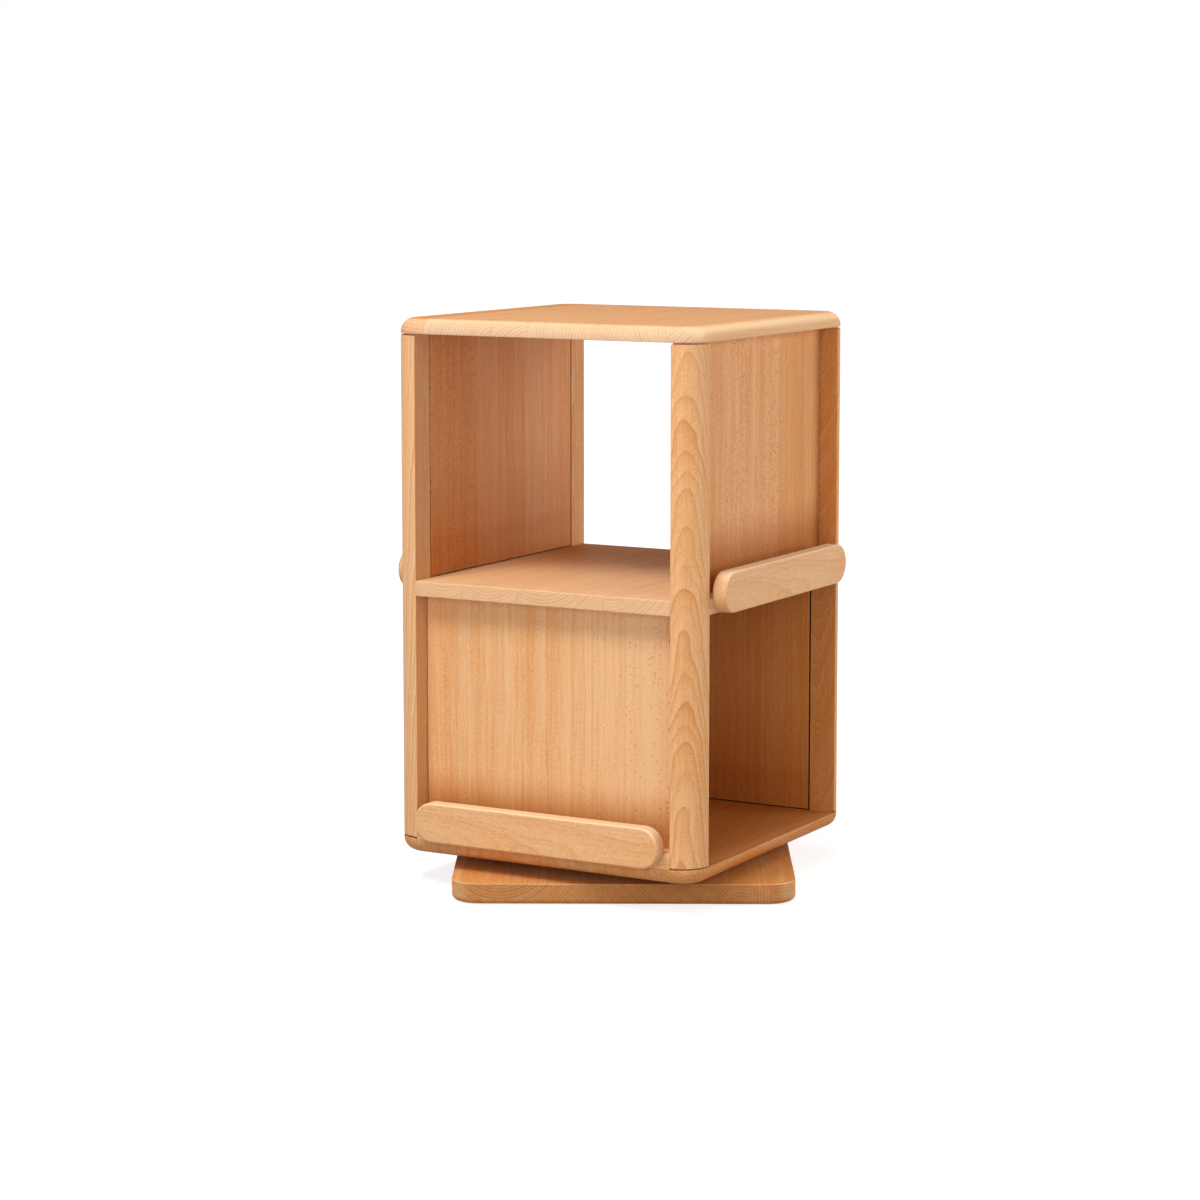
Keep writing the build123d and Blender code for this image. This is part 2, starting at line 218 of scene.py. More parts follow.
AXES, RINGS, FLECKS, FIBRES = board_axes(), growth_rings(), ray_flecks(), fibres()
PALE_BEECH = (0.79, 0.475, 0.25, 1)
HONEY_BEECH = (0.67, 0.26, 0.058, 1)
LATE_BEECH = (0.50, 0.20, 0.055, 1)
FLECK_BROWN = (0.43, 0.10, 0.012, 1)
END_PALE = (0.64, 0.45, 0.30, 1)
END_DARK = (0.40, 0.155, 0.05, 1)
END_LINE = (0.24, 0.085, 0.03, 1)


def oiled_beech():
    """Oiled beech: rings, fibres and flecks put together into a colour, a roughness and a height."""
    takes = {"Board": (0, 0, 0), "End": 0.0, "Tone": 0.4, "Pith Across": 0.0, "Pith Depth": 0.05,
             "Flecks": 0.2, "Ring Width": 0.003, "Lean": 0.01, "Waver": 0.002, "Wander": (32, 32, 7),
             "Figure": 0.5, "End Pale": 0.0, "End Dark": 0.0, "End Figure": 0.5, "Streaks": 0.9}
    tree, given, made = effect("oiled beech", takes, ("Color", "Roughness", "Height"))
    for_rings = ("Board", "Pith Across", "Pith Depth", "Ring Width", "Lean", "Waver", "Wander")
    rings = use(tree, RINGS, {label: given[label] for label in for_rings})
    streaks = use(tree, FIBRES, {"Board": given["Board"]})
    dashes = use(tree, FLECKS, {"Board": given["Board"], "Amount": given["Flecks"]})
    end = given["End"]
    face = calc(tree, "SUBTRACT", 1.0, end)
    tone = given["Tone"]
    weights = {"Broad": given["Streaks"], "Streaky": given["Streaks"], "Fine": 0.7, "Pores": 1.3}
    for label, weight in weights.items():
        tone = calc(tree, "MULTIPLY_ADD", centred(tree, streaks[label]), weight, tone)
    pale_line, ring_change, fleck_strength, ray_strength = -0.15, 0.2, 0.85, 0.1
    tone = calc(tree, "MULTIPLY_ADD", streaks["Pale Line"], pale_line, tone)
    tone = calc(tree, "MULTIPLY_ADD", centred(tree, rings["Ring"]), ring_change, tone)
    body = tint(tree, tone, PALE_BEECH, HONEY_BEECH)
    pale = calc(tree, "MULTIPLY", given["End Pale"], ramp(tree, given["Tone"], 0.5, 0.9, 1.0, 0.0))
    body = tint(tree, calc(tree, "MULTIPLY", end, pale), body, END_PALE)
    body = tint(tree, calc(tree, "MULTIPLY", end, given["End Dark"]), body, END_DARK)
    figure = calc(tree, "MULTIPLY", face, given["Figure"])
    figure = calc(tree, "MULTIPLY_ADD", end, given["End Figure"], figure)
    strength = calc(tree, "MULTIPLY", rings["Latewood"], figure)
    body = tint(tree, strength, body, tint(tree, end, LATE_BEECH, END_LINE))
    fleck = calc(tree, "MULTIPLY", dashes["Fleck"], calc(tree, "MULTIPLY", face, fleck_strength))
    body = tint(tree, fleck, body, FLECK_BROWN)
    pale_rays = calc(tree, "MULTIPLY", end, ray_strength)
    rays = calc(tree, "MULTIPLY", ramp(tree, rings["Rays"], 0.45, 0.7), pale_rays)
    tree.links.new(tint(tree, rays, body, PALE_BEECH), made["Color"])
    satin, pore_matt, end_matt = 0.42, 0.16, 0.1
    rough = calc(tree, "MULTIPLY_ADD", streaks["Pores"], pore_matt, satin)
    tree.links.new(calc(tree, "MULTIPLY_ADD", end, end_matt, rough), made["Roughness"])
    tree.links.new(calc(tree, "MULTIPLY_ADD", rings["Latewood"], 0.5, streaks["Pores"]), made["Height"])
    return tree


BEECH = oiled_beech()
# Painted shade, multiplied into the wood, and cream for painted highlight on upper edges and what looks up.
PAINTED_SHADE_BROWN = (0.68, 0.48, 0.25, 1)
HIGHLIGHT_AND_WEAR_CREAM = (0.84, 0.61, 0.38, 1)


def plain_finish(name):
    """New material, with its tree and its shader."""
    made = bpy.data.materials.new(name)
    made.use_nodes = True
    return made, made.node_tree, made.node_tree.nodes["Principled BSDF"]


def relief(tree, shader, height, strength, depth):
    """Fine relief on a finish, as deep as given in metres."""
    bump = put(tree, "Bump", {"Strength": strength, "Distance": depth, "Height": height})
    tree.links.new(bump.outputs["Normal"], shader.inputs["Normal"])


def painted_shade(tree, share, color):
    """Painted shade: wood made browner by a share, with its grain kept."""
    return tint(tree, share, color, PAINTED_SHADE_BROWN, "MULTIPLY")


def glued_staves(tree, board, staves):
    """What each stave of an edge-glued board gives to the wood, and the lines of glue between them.
    A stave is (width, tone, pith across, pith depth, flecks); they are listed from low X to high X."""
    total = sum(stave[0] for stave in staves)
    share = calc(tree, "DIVIDE", calc(tree, "ADD", split(tree, board)["X"], total / 2), total)
    joints = put(tree, "ValToRGB", {"Fac": share})
    joints.color_ramp.interpolation = "CONSTANT"
    edge = 0.0
    for number, (width, tone, pith_across, pith_depth, flecks) in enumerate(staves):
        stops = joints.color_ramp.elements
        stop = stops[number] if number < 2 else stops.new(edge / total)
        stop.position = edge / total
        stop.color = (tone, pith_across + 0.5, pith_depth + 0.5, flecks)
        edge += width
    values = put(tree, "SeparateColor", {0: joints.outputs["Color"]}).outputs
    wood_feeds = {"Tone": values[0], "Pith Across": centred(tree, values[1]),
                  "Pith Depth": centred(tree, values[2]), "Flecks": joints.outputs["Alpha"]}
    glue = put(tree, "ValToRGB", {"Fac": share})
    edge, line = 0.0, 0.0014
    for stave in staves[:-1]:
        edge += stave[0]
        for offset, dark in ((-line, 0.0), (0.0, 1.0), (line, 0.0)):
            glue.color_ramp.elements.new((edge + offset) / total).color = (dark, dark, dark, 1)
    glue.color_ramp.elements[-1].color = (0, 0, 0, 1)
    return wood_feeds, glue.outputs["Color"]


def beech_finish(name, middle, turn, staves=None, ring=0.003, lean=0.01, waver=0.002, wander=(32, 32, 7),
                 figure=0.5, end_figure=0.5, tone=0.4, pith=(0.0, 0.05), end_pale=0.0, end_dark=0.0,
                 streaks=0.9, shade=None, marks=None, rim=0.35, rim_end=0.0, upper=0.0, sheen=0.14,
                 coat=0.0):
    """Material of one beech piece, by its middle and the turn of its board axes. Without staves it is one
    stick of timber with the tone and pith given. ring, lean, waver and wander are the width of the growth
    rings, their slope along the grain and the size and scale of their waves. figure and end_figure are
    their strength on faces and on end grain, which end_pale and end_dark tint, and streaks is that of the
    broader streaks. shade is (board axis, from, to, first share, last share) of painted shade on the faces.
    marks adds what only some pieces have. rim, rim_end and upper are shares of cream, a painted highlight,
    on rounded edges (where the oil is also rubbed thin), on their end grain and on what looks up; sheen and
    coat are the shine of the oil."""
    made, tree, shader = plain_finish(name)
    coords = put(tree, "TexCoord").outputs
    axes = use(tree, AXES, {"Place": coords["Object"], "Facing": coords["Normal"], "Middle": middle,
                            "Turn": [math.radians(angle) for angle in turn]})
    board, end = axes["Board"], axes["End"]
    feeds = {"Board": board, "End": end, "Ring Width": ring, "Lean": lean, "Waver": waver, "Wander": wander,
             "Figure": figure, "End Figure": end_figure, "Tone": tone, "Pith Across": pith[0],
             "Pith Depth": pith[1], "Flecks": 0.0, "End Pale": end_pale, "End Dark": end_dark,
             "Streaks": streaks}
    if staves:
        stave_feeds, glue = glued_staves(tree, board, staves)
        feeds.update(stave_feeds)
    wood = use(tree, BEECH, feeds)
    color = wood["Color"]
    if staves:
        glue_strength = 0.22
        color = tint(tree, calc(tree, "MULTIPLY", glue, glue_strength), color, LATE_BEECH)
    # Painted shade: brown multiplied into the faces along one board axis.
    if shade:
        axis, *limits = shade
        face = calc(tree, "SUBTRACT", 1.0, end)
        share = calc(tree, "MULTIPLY", ramp(tree, split(tree, board)[axis], *limits), face)
        color = painted_shade(tree, share, color)
    if marks:
        color = marks(tree, coords, board, color)
    # Painted highlight: cream on upper rounded edges, where the oil is also rubbed thin, and painted light
    # on what looks up.
    if rim:
        highlight_share = calc(tree, "MULTIPLY_ADD", end, rim_end - rim, rim)
        color = tint(tree, calc(tree, "MULTIPLY", axes["Rim"], highlight_share), color, HIGHLIGHT_AND_WEAR_CREAM)
    if upper:
        color = tint(tree, calc(tree, "MULTIPLY", axes["Upper"], upper), color, HIGHLIGHT_AND_WEAR_CREAM)
    tree.links.new(color, shader.inputs["Base Color"])
    tree.links.new(wood["Roughness"], shader.inputs["Roughness"])
    shader.inputs["Specular IOR Level"].default_value = sheen
    shader.inputs["Coat Weight"].default_value = coat
    shader.inputs["Coat Roughness"].default_value = 0.2
    relief(tree, shader, wood["Height"], 0.25, 0.0002)
    return made


def finish_with(material, *names):
    """Gives CAD nodes their material."""
    for name in names:
        cad[name].material_slots[0].material = material


def middle_of(name):
    """Middle of a CAD node's box."""
    low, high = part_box(name)
    return (low + high) / 2


base_turn = 28.5
base_staves = [(0.164, 0.85, -0.142, -0.065, 0.0), (0.138, 1.0, 0.184, -0.18, 0.0),
               (0.038, 1.0, 0.134, 0.014, 0.0), (0.0275, 0.85, -0.35, 0.0, 0.0),
               (0.0285, 0.95, 0.18, -0.35, 0.0)]
# The cream on its upper edges, end grain included, is painted highlight; its darker end grain is partly its
# own colour and partly painted shade of the cabinet above it.
finish_with(beech_finish("base plate beech", middle_of("base_plate"), (-90, 0, base_turn), base_staves,
                         figure=0.25, end_figure=0.75, ring=0.0038, end_dark=0.5, rim=0.8, rim_end=0.9),
            "base_plate")


# Floor pads: four discs of pressed wool felt, 3 mm thick, glued into shallow pockets under the base plate.
# Punched out of sheet, so the rim is a little ragged and both edges are soft.

def solids_of(name):
    """Boxes of the separate solids in a CAD node, each as its lowest and highest corner."""
    copy = bmesh.new()
    copy.from_mesh(cad[name].data)
    bmesh.ops.remove_doubles(copy, verts=copy.verts, dist=1e-6)
    waiting, boxes = set(copy.verts), []
    while waiting:
        found = [waiting.pop()]
        for vertex in found:
            near = {edge.other_vert(vertex) for edge in vertex.link_edges} & waiting
            waiting -= near
            found.extend(near)
        spread = [[vertex.co[axis] for vertex in found] for axis in range(3)]
        boxes.append((Vector(map(min, spread)), Vector(map(max, spread))))
    copy.free()
    return sorted(boxes, key=lambda corners: tuple(corners[0]))


def turned(rows, columns=36):
    """Lathe form round the Z axis. rows lists (height, radius) from the lower end up; the radius is
    a number, or a function of angle and height for flutes, threads and sockets."""
    points, faces = [], []
    for height, radius in rows:
        for step in range(columns):
            angle = 2 * math.pi * step / columns
            reach = radius(angle, height) if callable(radius) else radius
            points.append((reach * math.cos(angle), reach * math.sin(angle), height))
    for row in range(len(rows) - 1):
        for step in range(columns):
            a, b = row * columns + step, row * columns + (step + 1) % columns
            faces.append((a, b, b + columns, a + columns))
    faces.append(tuple(reversed(range(columns))))
    faces.append(tuple(range(len(points) - columns, len(points))))
    return points, faces


def stand_in(node, body, material, form, places):
    """One piece for a CAD node: the form set at each place. Every point also keeps its own place on the
    form, which the material reads as the attribute "own"."""
    points, faces = form
    corners = [place @ Vector(point) for place in places for point in points]
    loops = [tuple(corner + copy * len(points) for corner in face)
             for copy in range(len(places)) for face in faces]
    mesh = bpy.data.meshes.new(node + "_detail")
    mesh.from_pydata(corners, [], loops)
    own = mesh.attributes.new("own", "FLOAT_VECTOR", "POINT")
    own.data.foreach_set("vector", [value for _ in places for point in points for value in point])
    crease = math.radians(38)
    mesh.shade_smooth()
    mesh.set_sharp_from_angle(angle=crease)
    mesh.materials.append(material)
    made = bpy.data.objects.new(node + "_detail", mesh)
    bpy.context.scene.collection.objects.link(made)
    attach(made, body)
    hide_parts(node)
    return made


def upright(name):
    """Places at the foot of each solid of a node, standing up."""
    return [Matrix.Translation(((low + high) / 2).to_2d().to_3d() + Vector((0, 0, low.z)))
            for low, high in solids_of(name)]


def own_place(tree):
    """Place of a point on its own form."""
    return put(tree, "Attribute", attribute_name="own").outputs["Vector"]


FELT_DARK, FELT_PALE = (0.055, 0.042, 0.033, 1), (0.17, 0.135, 0.105, 1)
felt, tree, shader = plain_finish("pressed felt")
hairs = noise(tree, stretched(tree, own_place(tree), 2600, 2600), 4.0)
clumps = noise(tree, stretched(tree, own_place(tree), 420, 420), 3.0)
tree.links.new(tint(tree, ramp(tree, hairs, 0.3, 0.7), FELT_DARK, FELT_PALE), shader.inputs["Base Color"])
shader.inputs["Roughness"].default_value = 0.95
shader.inputs["Sheen Weight"].default_value = 0.4
relief(tree, shader, calc(tree, "ADD", hairs, clumps), 0.7, 0.0004)

pad_radius, pad_thickness, pad_eye = 0.014, 0.003, 0.0004


def ragged(radius):
    """Radius of a punched felt edge."""
    raggedness = 0.007

    def reach(angle, height):
        return radius * (1 - raggedness * (1 + math.sin(23 * angle + 900 * height) * math.sin(7 * angle)))
    return reach


pad_edge = [(0.0, 0.0006), (0.0002, 0.0002), (0.0006, 0.0), (0.0015, 0.0001), (0.0024, 0.0),
            (0.0028, 0.0002), (pad_thickness, 0.0006)]
pad_rows = [(height, ragged(pad_radius - inset)) for height, inset in pad_edge]
pad_rows = [(0.0, pad_eye)] + pad_rows + [(pad_thickness, pad_eye)]
pads = stand_in("floor_pads", "base", felt, turned(pad_rows, 72), upright("floor_pads"))


# Lower bearing ring: turned aluminium, with half of the ball race in its outer rim.
# Six socket-head screws come up through the base plate from below and are threaded into it.

def turned_metal():
    """Fine lathe lines round the turning axis, with a slow change of shine."""
    tree, given, made = effect("turned metal", {"Place": (0, 0, 0)}, ("Lines", "Cloud"))
    lines_per_metre = 5200
    place = split(tree, given["Place"])
    flat = put(tree, "CombineXYZ", {"X": place["X"], "Y": place["Y"]}).outputs[0]
    radius = put(tree, "VectorMath", {0: flat}, operation="LENGTH").outputs["Value"]
    lathe = {"X": calc(tree, "MULTIPLY", radius, lines_per_metre),
             "Z": calc(tree, "MULTIPLY", place["Z"], lines_per_metre)}
    tree.links.new(noise(tree, put(tree, "CombineXYZ", lathe).outputs[0], 2.0), made["Lines"])
    tree.links.new(noise(tree, stretched(tree, given["Place"], 60, 60), 3.0), made["Cloud"])
    return tree


TURNED = turned_metal()


def metal_finish(name, dull, bright, roughness, place, lines=0.3):
    """Turned or rolled metal. place picks the coordinates: the object's or the piece's own."""
    made, tree, shader = plain_finish(name)
    spot = own_place(tree) if place == "own" else put(tree, "TexCoord").outputs["Object"]
    marks = use(tree, TURNED, {"Place": spot})
    contrast, unevenness, line_depth = 0.5, 0.16, 0.00004
    shade = calc(tree, "MULTIPLY_ADD", centred(tree, marks["Lines"]), contrast, marks["Cloud"])
    tree.links.new(tint(tree, shade, dull, bright), shader.inputs["Base Color"])
    shader.inputs["Metallic"].default_value = 1.0
    rough = calc(tree, "MULTIPLY_ADD", marks["Cloud"], unevenness, roughness)
    tree.links.new(rough, shader.inputs["Roughness"])
    relief(tree, shader, marks["Lines"], lines, line_depth)
    return made


aluminium = metal_finish("turned aluminium", (0.62, 0.63, 0.64, 1), (0.86, 0.87, 0.88, 1), 0.24, "object")
zinc = metal_finish("zinc-plated steel", (0.42, 0.43, 0.46, 1), (0.70, 0.71, 0.74, 1), 0.22, "own")
finish_with(aluminium, "bearing_base_ring")


def hexagon(radius):
    """Radius of a hexagon socket, measured to its corners."""
    sixth = math.pi / 3
    return lambda angle, height: radius * math.cos(sixth / 2) / math.cos(angle % sixth - sixth / 2)


def thread(core, crest, pitch):
    """Radius of a screw thread with sloped flanks."""
    def reach(angle, height):
        turn = (height / pitch - angle / (2 * math.pi)) % 1
        return core + (crest - core) * min(1, max(0, 1.6 - abs(4 * turn - 2)))
    return reach


def thread_rows(low, high, core, crest, pitch):
    """Rows of a thread, with a short lead at both ends."""
    rows_per_turn = 5
    steps = round((high - low) / pitch * rows_per_turn)
    rows = [(low + (high - low) * step / steps, thread(core, crest, pitch)) for step in range(1, steps)]
    return [(low, core)] + rows + [(high, core)]


socket_width, socket_depth = 0.55, 0.6


def cap_screw(length, head, head_height, radius, plain, pitch):
    """Socket-head screw standing on its head: a knurled head, a plain neck and a rolled thread.
    The hexagon socket takes up fixed shares of the head's radius and height."""
    ridges, ridge_depth, lead = 36, 0.012, 0.0008

    def knurl(angle, height):
        return head * (1 - ridge_depth * (1 + math.cos(ridges * angle)))
    key, neck = hexagon(head * socket_width), head_height + plain
    rows = [(head_height * socket_depth, key), (0.0, key), (0.0, head - 0.0006), (0.0003, head - 0.00015),
            (0.0006, knurl), (head_height - 0.0004, knurl), (head_height, head - 0.0003),
            (head_height, radius), (neck, radius)]
    rows += thread_rows(neck, length - lead, radius * 0.82, radius, pitch)
    return turned(rows + [(length, radius * 0.6)], 72)


base_screw = cap_screw(length=0.031, head=0.0043, head_height=0.005, radius=0.0025, plain=0.014,
                       pitch=0.0008)
stand_in("base_ring_screws", "base", zinc, base_screw, upright("base_ring_screws"))


# Balls and cage: 24 polished steel balls run between the two rings, kept apart by a hoop of moulded nylon.
# They roll round at about half the speed of the cabinet.

polished = metal_finish("polished ball steel", (0.58, 0.58, 0.60, 1), (0.78, 0.78, 0.80, 1), 0.05, "own",
                        lines=0.05)
ball_radius, ball_pole, ball_steps = 0.003, 0.00005, 24
ball_angles = [math.pi * step / ball_steps for step in range(1, ball_steps)]
ball_rows = [(ball_radius * (1 - math.cos(angle)), ball_radius * math.sin(angle)) for angle in ball_angles]
ball_rows = [(0.0, ball_pole)] + ball_rows + [(2 * ball_radius, ball_pole)]
stand_in("bearing_balls", "ball_ring", polished, turned(ball_rows, 40),
         upright("bearing_balls"))

nylon, tree, shader = plain_finish("moulded nylon")
place = put(tree, "TexCoord").outputs["Object"]
swirl = noise(tree, stretched(tree, place, 70, 160), 3.0)
grit = noise(tree, stretched(tree, place, 2400, 2400), 2.0)
tree.links.new(tint(tree, swirl, (0.74, 0.70, 0.59, 1), (0.86, 0.83, 0.75, 1)), shader.inputs["Base Color"])
tree.links.new(calc(tree, "MULTIPLY_ADD", grit, 0.2, 0.32), shader.inputs["Roughness"])
shader.inputs["Subsurface Weight"].default_value = 0.15
shader.inputs["Subsurface Radius"].default_value = (0.002, 0.0016, 0.001)
relief(tree, shader, grit, 0.2, 0.0001)
finish_with(nylon, "ball_cage")


# Upper bearing ring: turned aluminium outside the balls, screwed up into the bottom board.
# Six countersunk wood screws with hexagon sockets hold it.

finish_with(aluminium, "bearing_cabinet_ring")


def wood_screw(length, head, head_height, radius, point, pitch):
    """Countersunk screw standing on its head: a coarse thread that runs out into the point."""
    key, core, plain, point_steps = hexagon(head * socket_width), radius * 0.68, 0.004, 12
    neck = head_height + plain
    rows = [(head_height * socket_depth, key), (0.0, key), (0.0, head - 0.0002), (0.0002, head),
            (head_height, radius), (neck, radius)]
    rows += thread_rows(neck, length - point, core, radius, pitch)
    for step in range(1, point_steps):
        fade = 1 - step / point_steps
        rows.append((length - point * fade, thread(core * fade, radius * fade, pitch)))
    return turned(rows + [(length, 0.00005)], 60)


ring_screw = wood_screw(length=0.022, head=0.004, head_height=0.0024, radius=0.002, point=0.003,
                        pitch=0.0018)
stand_in("cabinet_ring_screws", "cabinet", zinc, ring_screw, upright("cabinet_ring_screws"))


# Bottom board: edge-glued beech, 18 mm thick, its staves running from front to back.
# Its lower edge is rounded over all round; the posts, panels and ledges stand on it.

bottom_staves = [(0.092, 0.75, -0.40, -0.05, 0.0), (0.064, 0.8, 0.10, 0.08, 0.0),
                 (0.112, 0.75, -0.35, -0.04, 0.0), (0.074, 0.85, 0.30, 0.06, 0.0),
                 (0.058, 0.8, 0.20, -0.05, 0.0)]
# Painted shade browns its faces, least along the right edge.
finish_with(beech_finish("bottom board beech", middle_of("bottom_panel"), (-90, 0, 0), bottom_staves,
                         figure=0.3, ring=0.0034, end_pale=0.4, shade=("X", 0.12, 0.21, 0.85, 0.35),
                         sheen=0.06), "bottom_panel")


# Corner posts: quarter-round sticks of beech, flat-sawn in one length, so the round face shows arches.
# Every foot has a dowel and a threaded brass insert, for a bolt that comes up through the bottom board.
# Grooves for the panels run up them, in one face to the shelf and in the other above it.

# Near-black of painted shadow in the grooves round the panels.
PAINTED_GAP_SHADOW = (0.045, 0.018, 0.008, 1)
shelf_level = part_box("middle_shelf")[0].z


def post_marks(heart, inside):
    """Marks of a post: painted shade makes faces that look into the cabinet browner by the share inside,
    and painted shadow darkens the walls of the grooves, next to the inner corner of the post."""
    inward = [-math.copysign(1, heart[0]), -math.copysign(1, heart[1]), 0]
    groove = 0.0015

    def added(tree, coords, board, color):
        looks_in = put(tree, "VectorMath", {0: coords["Normal"], 1: inward}, operation="DOT_PRODUCT")
        color = painted_shade(tree, ramp(tree, looks_in.outputs["Value"], 0.5, 0.9, 0.0, inside), color)
        lower = calc(tree, "LESS_THAN", split(tree, coords["Object"])["Z"], shelf_level)
        higher = calc(tree, "SUBTRACT", 1.0, lower)
        corner = split(tree, vector(tree, "SUBTRACT", coords["Object"], heart))
        facing = split(tree, vector(tree, "MULTIPLY", coords["Normal"], inward))
        for tier, wall, reach in ((lower, "X", "Y"), (higher, "Y", "X")):
            side = calc(tree, "GREATER_THAN", facing[wall], 0.7)
            near = calc(tree, "LESS_THAN", calc(tree, "ABSOLUTE", corner[reach]), groove)
            dark = calc(tree, "MULTIPLY", tier, calc(tree, "MULTIPLY", side, near))
            color = tint(tree, dark, color, PAINTED_GAP_SHADOW)
        return color
    return added


for post_name, facing, reach, tone, lean, ring, figure, inside in (
        ("front_left_post", 20, 0.012, 0.2, 0.02, 0.0016, 0.65, 0.3),
        ("front_right_post", 31, 0.0125, 0.44, 0.06, 0.002, 0.72, 0.3),
        ("back_right_post", 42, 0.0135, 0.8, -0.3, 0.0034, 0.65, 0.3),
        ("back_left_post", 250, 0.015, 0.6, 0.03, 0.0016, 0.65, 0.1)):
    heart = [min(pair, key=abs) for pair in zip(*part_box(post_name))]
    finish_with(beech_finish(post_name + " beech", heart, (0, 0, facing), ring=ring, lean=lean,
                             waver=abs(lean) * 0.13, wander=(14, 14, 10), figure=figure, tone=tone,
                             pith=(0.0, -reach), streaks=0.5, marks=post_marks(heart, inside), rim=0.0),
                post_name)

brass = metal_finish("insert brass", (0.60, 0.38, 0.12, 1), (0.86, 0.62, 0.26, 1), 0.24, "own")


def threaded_insert(length, radius, bore, pitch):
    """Tube with a coarse thread outside and a bore for the bolt."""
    core, bevel, columns = radius - 0.0006, 0.0004, 48
    outside = [(0.0, core)] + thread_rows(0.0006, length - 0.0006, core, radius, pitch) + [(length, core)]
    inside = [(length, bore + bevel), (length - bevel, bore), (bevel, bore), (0.0, bore + bevel)]
    points, faces = turned(outside + inside, columns)
    last = len(points) - columns
    faces = faces[:-2]
    for step in range(columns):
        after = (step + 1) % columns
        faces.append((last + step, last + after, after, step))
    return points, faces


insert = threaded_insert(length=0.018, radius=0.00375, bore=0.0026, pitch=0.002)
stand_in("post_inserts", "cabinet", brass, insert, upright("post_inserts"))
post_bolt = cap_screw(length=0.033, head=0.00425, head_height=0.005, radius=0.0025, plain=0.010,
                      pitch=0.0008)
stand_in("post_bolts", "cabinet", zinc, post_bolt, upright("post_bolts"))

dowel_beech, tree, shader = plain_finish("dowel beech")
wood = use(tree, BEECH, {"Board": own_place(tree), "Tone": 0.35, "Pith Depth": 0.03, "Flecks": 0.05,
                         "Figure": 0.4, "Ring Width": 0.0022})
tree.links.new(wood["Color"], shader.inputs["Base Color"])
tree.links.new(calc(tree, "ADD", wood["Roughness"], 0.15), shader.inputs["Roughness"])
relief(tree, shader, wood["Height"], 0.3, 0.0002)


def dowel(length, radius=0.004, bevel=0.0008):
    """Fluted dowel: glue grooves along it and a bevel at both ends."""
    flutes, flute_depth = 14, 0.00045

    def fluted(angle, height):
        return radius - flute_depth * max(0.0, math.cos(flutes * angle)) ** 3
    rows = [(0.0, radius - bevel), (bevel, fluted), (length - bevel, fluted), (length, radius - bevel)]
    return turned(rows, 112)


def lying(name):
    """Places of the pins of a node, each along the longest side of its box."""
    places = []
    for low, high in solids_of(name):
        size = high - low
        axis = max(range(3), key=lambda side: size[side])
        along = Vector([float(side == axis) for side in range(3)])
        start = (low + high) / 2 - along * size[axis] / 2
        laid = Vector((0, 0, 1)).rotation_difference(along).to_matrix().to_4x4()
        places.append(Matrix.Translation(start) @ laid)
    return places


def pegs(name, length):
    """Fluted dowels in place of a node's plain ones."""
    stand_in(name, "cabinet", dowel_beech, dowel(length), lying(name))


dowel_length = 0.028
pegs("post_foot_dowels", dowel_length)


# Ledges: beech battens that close the foot of the lower front and back, in front of the panels.
# Each stands on the bottom board on two short dowels, between the posts.

for ledge_name, turn in (("lower_front_ledge", 0), ("lower_back_ledge", 180)):
    finish_with(beech_finish(ledge_name + " beech", middle_of(ledge_name), (0, 90, turn), tone=0.2),
                ledge_name)
ledge_dowel_length = 0.018
pegs("ledge_dowels", ledge_dowel_length)


# Lower panels: edge-glued upright staves, 10 mm thick, floating in grooves of the posts and boards.
# The front one is the large face of the lower tier; both are flush with the inner faces of the posts.

panel_half_thickness, panel_half_height = 0.005, 0.142


def panel_marks(inside):
    """Marks of a panel: painted shade makes the foot browner, and the inner face too by the share inside.
    The tongue that shows in the groove there is darkened with painted shadow, but not near its end at high
    X."""
    def added(tree, coords, board, color):
        place = split(tree, board)
        inner = ramp(tree, place["Y"], -0.001, 0.001)
        foot = ramp(tree, place["Z"], 0.035 - panel_half_height, 0.09 - panel_half_height, 0.85, 0.0)
        brown = ramp(tree, place["Z"], 0.03 - panel_half_height, 0.16 - panel_half_height, 0.7, inside)
        color = painted_shade(tree, calc(tree, "MAXIMUM", foot, calc(tree, "MULTIPLY", inner, brown)), color)
        tongue = ramp(tree, calc(tree, "ABSOLUTE", place["Y"]), panel_half_thickness - 0.0007,
                      panel_half_thickness - 0.0001, 1.0, 0.0)
        shadow_end = calc(tree, "LESS_THAN", place["X"], 0.15)
        dark = calc(tree, "MULTIPLY", tongue, calc(tree, "MULTIPLY", inner, shadow_end))
        return tint(tree, dark, color, PAINTED_GAP_SHADOW)
    return added


def panel_finish(panel_name, turn, staves, inside, streaks):
    """Gives a panel its beech."""
    finish_with(beech_finish(panel_name + " beech", middle_of(panel_name), (0, 0, turn), staves, figure=0.2,
                             lean=0.004, waver=0.004, ring=0.0021, streaks=streaks,
                             marks=panel_marks(inside)), panel_name)


front_staves = [(0.0432, 0.45, -0.35, 0.12, 0.05), (0.019, 0.25, -0.3, 0.1, 0.05),
                (0.030, 0.4, -0.4, 0.1, 0.05), (0.038, 0.3, -0.3, 0.12, 0.05),
                (0.040, 0.4, -0.25, 0.1, 0.06), (0.053, 0.2, 0.3, 0.12, 0.04),
                (0.043, 0.15, 0.25, 0.1, 0.1), (0.052, 0.05, 0.3, 0.12, 0.35),
                (0.0178, 0.3, 0.15, 0.04, 0.8)]
# The back panel has the front one's staves in a darker tone, painted shade of the lower tier.
back_tone = 0.85
back_staves = [(width, back_tone, pith_across, pith_depth, 0.0)
               for width, _, pith_across, pith_depth, _ in front_staves]
panel_finish("lower_front_panel", 0, front_staves, inside=0.3, streaks=0.8)
panel_finish("lower_back_panel", 180, back_staves, inside=0.35, streaks=0.5)


